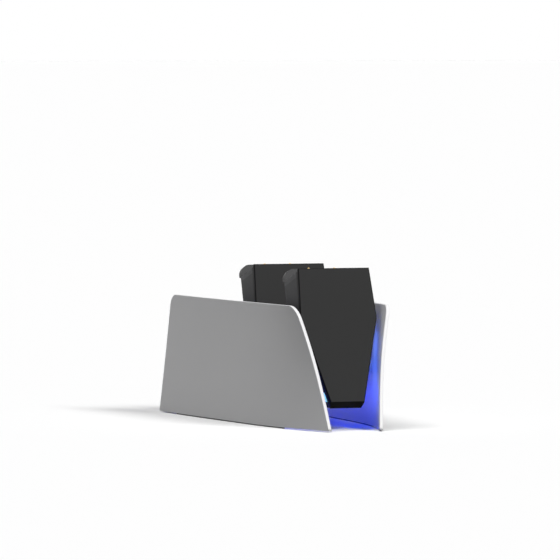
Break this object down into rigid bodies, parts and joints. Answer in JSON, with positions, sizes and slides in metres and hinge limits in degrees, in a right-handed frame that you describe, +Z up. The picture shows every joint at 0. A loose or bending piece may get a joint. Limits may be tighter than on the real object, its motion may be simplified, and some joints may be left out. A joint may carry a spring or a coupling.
{
  "type": "controller charging dock",
  "caption": "Boat-shaped desk dock with bowed white fins, a leaning dark tongue, blue-lit core and seats with sprung charging pins for hand-held pads.",
  "frame": {"origin": "on the floor at the middle of the dock's footprint", "axes": "+Z up, -Y to the front that the tongues face, +X to the right in the front view"},
  "size_m": [0.058, 0.16, 0.0654],
  "materials": {
    "white_shell": "satin moulded",
    "dark_face": "satin moulded",
    "black_core": "fine matt texture",
    "black_seat": "soft matt",
    "foot_rubber": "matt",
    "light_diffuser": "frosted",
    "led_body": "clear",
    "circuit_board": "solder mask",
    "chip_black": "moulded",
    "coil_grey": "ferrite",
    "capacitor_tan": "ceramic",
    "gold_contact": "gold plated",
    "nickel_plate": "plated",
    "screw_steel": "zinc plated",
    "lead_sheath": "matt"
  },
  "bodies": {
    "dock": {"left_fin": "white_shell", "right_fin": "white_shell", "left_foot_strip": "foot_rubber", "right_foot_strip": "foot_rubber", "core_tray": "black_core", "core_lid": "black_core", "front_tongue": "dark_face", "rear_tongue": "dark_face", "front_seat": "black_seat", "rear_seat": "black_seat", "front_pin_barrels": "gold_contact", "rear_pin_barrels": "gold_contact", "front_contact_board": "circuit_board", "rear_contact_board": "circuit_board", "main_board": "circuit_board", "charge_chips": "chip_black", "power_coil": "coil_grey", "capacitors": "capacitor_tan", "usb_shell": "nickel_plate", "usb_contact_tongue": "chip_black", "left_light_strip": "light_diffuser", "right_light_strip": "light_diffuser", "left_led_board": "circuit_board", "right_led_board": "circuit_board", "left_leds": "led_body", "right_leds": "led_body", "lid_screws": "screw_steel", "board_screws": "screw_steel", "fin_screws": "screw_steel", "front_lead": "lead_sheath", "rear_lead": "lead_sheath", "left_led_lead": "lead_sheath", "right_led_lead": "lead_sheath"},
    "front_left_contact": {"front_left_pin": "gold_contact"},
    "front_right_contact": {"front_right_pin": "gold_contact"},
    "rear_left_contact": {"rear_left_pin": "gold_contact"},
    "rear_right_contact": {"rear_right_pin": "gold_contact"}
  },
  "joints": [
    {"name": "front_left_press", "type": "slide", "parent": "dock", "child": "front_left_contact", "axis": [0, 0.2924, 0.9563], "range_m": [-0.001, 0], "stiffness_N_per_m": 500},
    {"name": "front_right_press", "type": "slide", "parent": "dock", "child": "front_right_contact", "axis": [0, 0.2924, 0.9563], "range_m": [-0.001, 0], "stiffness_N_per_m": 500},
    {"name": "rear_left_press", "type": "slide", "parent": "dock", "child": "rear_left_contact", "axis": [0, 0.2924, 0.9563], "range_m": [-0.001, 0], "stiffness_N_per_m": 500},
    {"name": "rear_right_press", "type": "slide", "parent": "dock", "child": "rear_right_contact", "axis": [0, 0.2924, 0.9563], "range_m": [-0.001, 0], "stiffness_N_per_m": 500}
  ]
}
